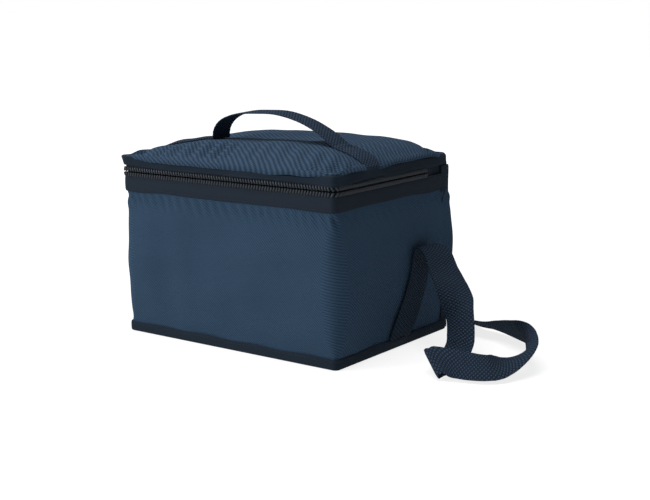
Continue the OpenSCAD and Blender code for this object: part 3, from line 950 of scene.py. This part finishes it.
def zip_coils():
    """Slanted teeth in two rows that meet at the zip's middle."""
    flat, way = outline(0.0, END_RADIUS, tape_hi[1] - 1)
    path = np.concatenate([flat[0], way[0]], 1)
    s = lengths(flat[0])
    pitch, lean, meet = 2.6, 1.25, 0.42
    out_far, out_near = 0.85, 1.25
    at = np.arange(1.5, s[-1] - 3, pitch)

    def row(shift, out, z):
        place = np.stack([np.interp(at + shift, s, path[:, k]) for k in range(4)], -1)
        flat_place = place[:, :2] + place[:, 2:] * out
        return np.concatenate([flat_place, np.full((len(at), 1), z)], 1)

    for name, body, node, sign in (("coil_low", "bag", "zip_coil_lower", -1),
                                   ("coil_up", "lid", "zip_coil_upper", 1)):
        starts = row(0, out_far, ZIP_Z + sign * 3.3)
        ends = row(lean, out_near, ZIP_Z + sign * (meet + 0.5))
        dress(capsules(name, starts, ends, 0.88, sides=8), NYLON, body, [node])


def zip_patches():
    """The cloth patches behind the zip's two ends."""
    for side, name in ((-1, "left"), (1, "right")):
        x = side * (tab_lo[0] + tab_hi[0]) / 2
        plan = [(x, y) for y in np.linspace(tab_lo[1], tab_hi[1], 14)]

        def move(grid, side=side):
            along = np.clip((grid[..., 1] - tab_lo[1]) / (tab_hi[1] - tab_lo[1]), 0, 1)
            soft = -1.1 * np.sin(np.pi * along) + 0.3 * ripple(grid, 14, 91)
            return np.stack([side * soft, 0 * soft, 0 * soft], -1)

        piece, _ = plan_wall("zip_patch_" + name, plan, tab_lo[2], tab_hi[2] + 0.6, FABRIC, move, 1.5)
        dress(piece, TAPE_CLOTH, "bag", ["zip_end_tab_" + name])


# ---------- lid ----------
LID_BASE = 142.0       # height at which the lid's fabric leaves its binding
LID_RISE = 15.0
FRONT_RIDGE, VALLEY, LEFT_DIP = 1.5, 1.4, 2.6
RUFFLE, RUFFLE_PITCH = 1.9, 13.5             # on the front slope
SIDE_RUFFLE, SIDE_PITCH = 0.7, 17
ROLL_DROP, CORNER_DROP, CORNER_IN = 4.4, 2.6, 2.0
HANDLE_Y = (loop_lo[1] + loop_hi[1]) / 2
HANDLE_W, HANDLE_T = 20.0, 1.4


def lid_height(x, y):
    """Height of the lid's fabric: a pillow with a front ridge and a shallow valley behind it."""
    u, v = np.abs(x) / HALF_W, np.abs(y) / HALF_D
    s = np.clip((u ** 6 + v ** 6) ** (1 / 6), 0, 1)
    full = 4 + 1.7 * np.tanh(x / 60 + y / 120)
    z = LID_BASE + LID_RISE * (1 - s ** full) ** 0.75
    across = rise(x, -66, -46) * rise(-x, -52, -36)
    z = z + FRONT_RIDGE * bump(y, -44, 10) * across
    z = z - VALLEY * bump(y, -12, 11) * across
    z = z - LEFT_DIP * bump(x, -70, 20) * bump(y, -52, 20)
    corner = near_corner(x, y, 34, 30)
    uneven = 0.55 * plan_ripple(x, y, 75, 101) + 0.18 * plan_ripple(x, y, 26, 103)
    return z - 1.6 * corner + (1 - s ** 8) * uneven


def lid_skin(x, y):
    """Height of the lid's outer fabric, with the ruffles on its front slope and sides."""
    z = lid_height(x, y)
    slope = rise(-y, 42, 53) * rise(HALF_D + y, 0.5, 7)
    wide = rise(x, -88, -70) * rise(-x, -8, 12) + 0.4 * rise(x, 0, 20)
    wave = np.sin(2 * np.pi * (x + 4 * np.sin(x / 17) + 0.25 * y) / RUFFLE_PITCH)
    z = z + RUFFLE * slope * wide * wave
    side = rise(np.abs(x), 70, 84) * rise(HALF_W - np.abs(x), 0.5, 6)
    z = z + SIDE_RUFFLE * side * np.sin(2 * np.pi * (y + 3 * np.sin(y / 15)) / SIDE_PITCH)
    corner = near_corner(x, y, 34, 30)
    edge = np.clip(1 - np.maximum(np.abs(x) / HALF_W, np.abs(y) / HALF_D), 0, 1)
    z = z + 1.6 * np.exp(-edge * 40) * (1 - corner)
    return z - 0.8 * bump(y, HANDLE_Y, 11) * rise(np.abs(x), 80, 98)


def lid_cloth():
    """The lid's outer fabric: it rolls over its binding along the front and the sides."""
    rim = [(2.0, 140.6), (1.9, 141.8), (0.9, 142.7), (-0.5, 142.9), (-1.4, 142.4), (-1.9, 142.0),
           (-2.1, 142.6), (-1.7, 143.6), (-0.6, 144.9)]

    def roll(grid, out):
        x, y = grid[..., 0], grid[..., 1]
        row = np.arange(len(rim))[:, None]
        outer = rise(row, 2.5, 4.0)
        front = front_middle(x, y)
        tail = bump(y, HANDLE_Y, 13) * rise(np.abs(x), HALF_W - 10, HALF_W - 3)
        droop = outer * (ROLL_DROP * front - 1.2 * rise(x, 80, 100) * rise(-y, 10, 60))
        shift = out * (outer * (0.35 * ripple(grid, 30, 111) - 3.2 * tail))[..., None]
        shift[..., 2] -= droop * np.clip(1.25 - 0.12 * row, 0.4, 1) + 2.4 * outer * tail
        shift[..., 2] += 0.4 * outer * ripple(grid, 36, 113)
        corner = near_corner(x, y, 20, 20, 3)
        shift[..., 2] -= CORNER_DROP * corner * outer
        return shift - out * (CORNER_IN * corner * outer)[..., None]

    piece = capped("lid_cloth", rim, lid_skin, FABRIC, 46, END_RADIUS, roll)
    dress(piece, LID, "lid", ["lid_panel"])


def lid_inside():
    for name, drop, thick, inset, turn, slot in (("foam_lid", 3.2, 2.4, 6.0, 20.0, "foam"),
                                                 ("lining_lid", 5.0, FILM, 2.6, 8.0, "lining")):
        start = LID_BASE - drop + 0.3

        def height(x, y, drop=drop, name=name):
            extra = 0.25 * plan_ripple(x, y, 18, 121) if name == "lining_lid" else 0
            return lid_height(x, y) - drop - 0.6 + extra

        piece = capped(name, [(inset, start - 0.6), (inset + 0.2, start), (inset + 1, start + 0.8)],
                             height, thick, 34, turn)
        dress(piece, FOAM if slot == "foam" else FOIL, "lid", ["lid_" + slot])


def lid_binding():
    low, high = lid_tape_lo[2], lid_tape_hi[2]
    inner = 1.12
    profile = ([(TAPE_IN, z) for z in np.linspace(low, high - 1.2, 8)]
               + [(TAPE_IN + 0.15, high - 0.75), (0.0, high - 0.48), (0.6, high - 0.48),
                  (inner - 0.15, high - 0.8), (inner, high - 1.5), (inner, low + 2.2)])

    def move(grid, out):
        x, y, z = grid[..., 0], grid[..., 1], grid[..., 2]
        t = (z - low) / (high - low)
        soft = 0.4 * ripple(grid, 44, 131) + 0.18 * ripple(grid, 15, 133)
        front = front_middle(x, y)
        corner = bump(x, -HALF_W, 14) * bump(y, -HALF_D, 14)
        shift = out * (soft + 0.5 * (1 - t) + 2.6 * corner * t)[..., None]
        shift[..., 2] += (0.45 * ripple(grid, 52, 135) + 0.8 * corner) * (1 - 0.4 * t)
        shift[..., 2] -= 3.0 * front * t
        return shift

    piece, grid, out = wall("lid_tape", profile, TAPE, END_RADIUS, None, move)
    dress(piece, TAPE_CLOTH, "lid", ["lid_binding"])
    stitch_row("lid_stitches", *loop_path(grid, out, 2), "lid")


# ---------- handle ----------
CREST_X, LEFT_RUN, RIGHT_RUN = 3.0, 45.0, 72.0
HANDLE_RISE = 20.6
ROOT_L, ROOT_R, TAIL_X = CREST_X - LEFT_RUN, CREST_X + RIGHT_RUN, HALF_W - 0.4
ABOVE_LID = 1.25       # from the lid's height to the middle of the webbing


def loop_share(x):
    """How far the handle's loop stands up at x, from 0 at its roots to 1 at its crest."""
    left = np.clip((CREST_X - x) / LEFT_RUN, 0, 1)
    right = np.clip((x - CREST_X) / RIGHT_RUN, 0, 1)
    return np.where(x < CREST_X, (1 - left ** 2.6) ** 0.4545, 1 - right ** 2.1)


def handle_middle():
    """Middle points of the handle's band: its tails lie on the lid and its loop stands up."""
    swing = (1 - np.cos(np.linspace(0, np.pi, 90))) / 2
    x = np.concatenate([np.linspace(-TAIL_X, ROOT_L - 2.5, 26), ROOT_L + (ROOT_R - ROOT_L) * swing,
                        np.linspace(ROOT_R + 2, TAIL_X, 14)])
    y = HANDLE_Y + np.linspace(-1, 1, 9) * HANDLE_W / 2
    gx, gy = np.meshgrid(x, y, indexing="ij")
    share = loop_share(gx)
    on_lid = lid_skin(gx, gy) + ABOVE_LID
    crest_base = lid_height(gx, 0 * gy + HANDLE_Y) + ABOVE_LID
    free = rise(share, 0.05, 0.4)
    z = (1 - free) * on_lid + free * crest_base + HANDLE_RISE * share
    lower = rise(np.abs(gx), HALF_W - 3.5, TAIL_X)
    z = z - lower * (z - LID_BASE - 0.3) * 0.9
    gy = gy + share * (1.1 * np.sin(gx / 24) - 1.0)
    z = z + share * 0.05 * (gy - HANDLE_Y) * np.sin((gx + 40) / 26)
    return np.stack([gx, gy, z], -1)


def handle_rings(middle):
    """Rounded sections with toothed edges about the band's middle points, and their map."""
    centre = middle[:, 4]
    across = unit(middle[:, -1] - middle[:, 0])
    along = unit(np.gradient(centre, axis=0))
    normal = unit(np.cross(along, across))
    s = lengths(centre)
    t = np.linspace(-1, 1, 9)
    thin = (0.45 + 0.55 * (1 - np.abs(t) ** 6) ** 0.5) * HANDLE_T / 2
    tooth = 0.16 * np.sin(s * 2 * np.pi / 3.8)
    edge = across[:, None] * (np.sign(t) * (np.abs(t) > 0.99) * tooth[:, None])[..., None]
    upper = middle + edge + normal[:, None] * thin[None, :, None]
    under = middle + edge - normal[:, None] * thin[None, :, None]
    u = np.concatenate([t, t[::-1], t[:1]]) * HANDLE_W / 2
    return np.concatenate([upper, under[:, ::-1]], 1), weave_grid(u, s)


def handle_stitches():
    """Two rows of stitches across each of the handle's roots."""
    starts, ends = [], []
    for root, side in ((ROOT_L - 5, -1), (ROOT_R + 4, 1)):
        for step in range(2):
            at = root + side * 3 * step
            for k in np.arange(-8.5, 8.4, 2.6):
                y = HANDLE_Y + np.array([k, k + 1.7])
                rest = lid_skin(np.full(2, at), y) + ABOVE_LID + HANDLE_T / 2 + 0.1
                starts.append([at, y[0], rest[0]])
                ends.append([at, y[1], rest[1]])
    dress(capsules("handle_stitches", starts, ends, 0.25), THREAD, "lid")


def handle():
    """One band of webbing, with its stitches."""
    piece = tube("handle_webbing", *handle_rings(handle_middle()))
    dress(piece, HANDLE_WEB_PAINTED_LIGHTER, None, ["handle_tail_left", "handle_loop", "handle_tail_right"])
    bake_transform(piece)
    handle_stitches()


# ---------- zip slider ----------
def rounded_plate(points, low, high, bevel):
    """A solid from an outline in the (y, z) plane, between two x values, with soft edges."""
    work = bmesh.new()
    ring = [work.verts.new((low * MM, y * MM, z * MM)) for y, z in points]
    face = work.faces.new(ring)
    grown = bmesh.ops.extrude_face_region(work, geom=[face])
    moved = [g for g in grown["geom"] if isinstance(g, bmesh.types.BMVert)]
    bmesh.ops.translate(work, verts=moved, vec=((high - low) * MM, 0, 0))
    bmesh.ops.recalc_face_normals(work, faces=work.faces)
    sharp = [e for e in work.edges if e.calc_face_angle(0) > 0.9]
    bmesh.ops.bevel(work, geom=sharp, offset=bevel * MM, segments=3, affect="EDGES", profile=0.5)
    return work


def rectangle(y0, y1, z0, z1):
    return [(y0, z0), (y1, z0), (y1, z1), (y0, z1)]


def from_solids(name, solids):
    """One piece from several bmesh solids."""
    mesh = bpy.data.meshes.new(name)
    whole = bmesh.new()
    for solid in solids:
        part = bpy.data.meshes.new("part")
        solid.to_mesh(part)
        whole.from_mesh(part)
        solid.free()
        bpy.data.meshes.remove(part)
    whole.to_mesh(mesh)
    whole.free()
    mesh.shade_smooth()
    mesh.set_sharp_from_angle(angle=math.radians(40))
    return show(bpy.data.objects.new(name, mesh))


def slider():
    mid_y, mid_z = (slider_lo[1] + slider_hi[1]) / 2, (slider_lo[2] + slider_hi[2]) / 2
    long, high = (slider_hi[1] - slider_lo[1]) / 2, (slider_hi[2] - slider_lo[2]) / 2
    turn = np.linspace(0, 2 * np.pi, 40, endpoint=False)
    square = 3.2
    cos, sin = np.cos(turn), np.sin(turn)
    nose = 1 - 0.13 * (1 + cos)
    shape = [(mid_y + long * np.sign(c) * abs(c) ** (2 / square),
              mid_z + high * n * np.sign(v) * abs(v) ** (2 / square))
             for c, v, n in zip(cos, sin, nose)]
    slim = [(mid_y + (y - mid_y) * 0.94, mid_z + (z - mid_z) * 0.9) for y, z in shape]
    plate = 1.0
    solids = [rounded_plate(shape, slider_lo[0], slider_lo[0] + plate, 0.3),
              rounded_plate(slim, slider_hi[0] - plate, slider_hi[0], 0.25)]
    web = rectangle(mid_y - 1.8, mid_y + 1.8, mid_z - 0.3, mid_z + 0.3)
    solids.append(rounded_plate(web, slider_lo[0] + 0.5, slider_hi[0] - 0.5, 0.05))
    for sign in (-1, 1):
        z0 = mid_z + sign * high * 0.78
        lip = rectangle(mid_y - long * 0.6, mid_y + long * 0.55, z0 - 0.35, z0 + 0.35)
        solids.append(rounded_plate(lip, slider_lo[0] + 0.4, slider_lo[0] + plate + 0.7, 0.15))
    dress(from_solids("slider", solids), METAL, "zip_slider", ["slider_body"])

    r = 0.6
    foot_x, bar_x = crown_hi[0], crown_lo[0] + r
    y0, y1 = crown_lo[1] + r, crown_hi[1] - r
    path = smooth_path([(foot_x, y0, mid_z), (bar_x + 0.7, y0, mid_z), (bar_x, y0 + 0.6, mid_z),
                        (bar_x, mid_y, mid_z), (bar_x, y1 - 0.6, mid_z), (bar_x + 0.7, y1, mid_z),
                        (foot_x, y1, mid_z)], 5)
    along = unit(np.gradient(path, axis=0))
    flat = np.stack([-along[:, 1], along[:, 0], 0 * along[:, 0]], -1)
    spin = np.linspace(0, 2 * np.pi, 12, endpoint=False)
    up = np.array([0.0, 0.0, 1.0])
    rings = (path[:, None] + flat[:, None] * (r * np.cos(spin))[None, :, None]
             + up * (r * np.sin(spin))[None, :, None])
    uv = np.zeros(rings.shape[:2] + (2,))
    uv = np.concatenate([uv, uv[:, :1]], 1)
    dress(tube("slider_arch", rings, uv), METAL, "zip_slider", ["slider_crown"])


def puller():
    """A barrel eye on the slider's arch, and a blade with a long slot."""
    mid_y = (puller_lo[1] + puller_hi[1]) / 2
    half = (puller_hi[1] - puller_lo[1]) / 2
    bar_x, bar_z = (puller_lo[0] + puller_hi[0]) / 2, ZIP_Z
    inner, outer, soft = 1.0, 1.7, 0.25
    section = [(inner, -half + soft), (inner + soft, -half), (outer - soft, -half),
               (outer, -half + soft), (outer, half - soft), (outer - soft, half),
               (inner + soft, half), (inner, half - soft)]
    spin = np.linspace(0, 2 * np.pi, 36, endpoint=False)
    rings = np.array([[(bar_x + rr * math.cos(a), mid_y + yy, bar_z + rr * math.sin(a))
                       for rr, yy in section] for a in spin])
    uv = np.zeros((len(spin), len(section) + 1, 2))
    dress(tube("puller_eye", rings, uv, closed=True), METAL, "puller")
    top, low = bar_z - inner - 0.3, puller_lo[2]
    turn = np.linspace(0, 2 * np.pi, 56, endpoint=False)
    mid_z, tall = (top + low) / 2, (top - low) / 2

    def ring(wide, high, x):
        c, v = np.cos(turn), np.sin(turn)
        y = mid_y + wide * np.sign(c) * np.abs(c) ** 0.6
        z = mid_z + high * np.sign(v) * np.abs(v) ** 0.75
        return np.stack([np.full_like(y, x), y, z], -1)

    t = 0.6
    rim = [(0, 0, 0.25), (0.25, 0.25, 0), (1.2, 3.2, 0), (1.45, 3.45, 0.25)]
    loops = [ring(half - w, tall - h, bar_x - t + x) for w, h, x in rim]
    loops += [ring(half - w, tall - h, bar_x + t - x) for w, h, x in reversed(rim)]
    rings = np.stack(loops, 1)
    uv = np.zeros((len(turn), len(loops) + 1, 2))
    dress(tube("puller_blade", rings, uv, closed=True), METAL, "puller", ["zip_puller"])


camera()
studio()
shoulder_strap()
body_cloth()
back_cloth()
base_pieces()
inner_walls()
inner_back()
base_binding()
back_bindings()
zip_band()
zip_tapes()
zip_coils()
zip_patches()
lid_cloth()
lid_inside()
lid_binding()
handle()
slider()
puller()
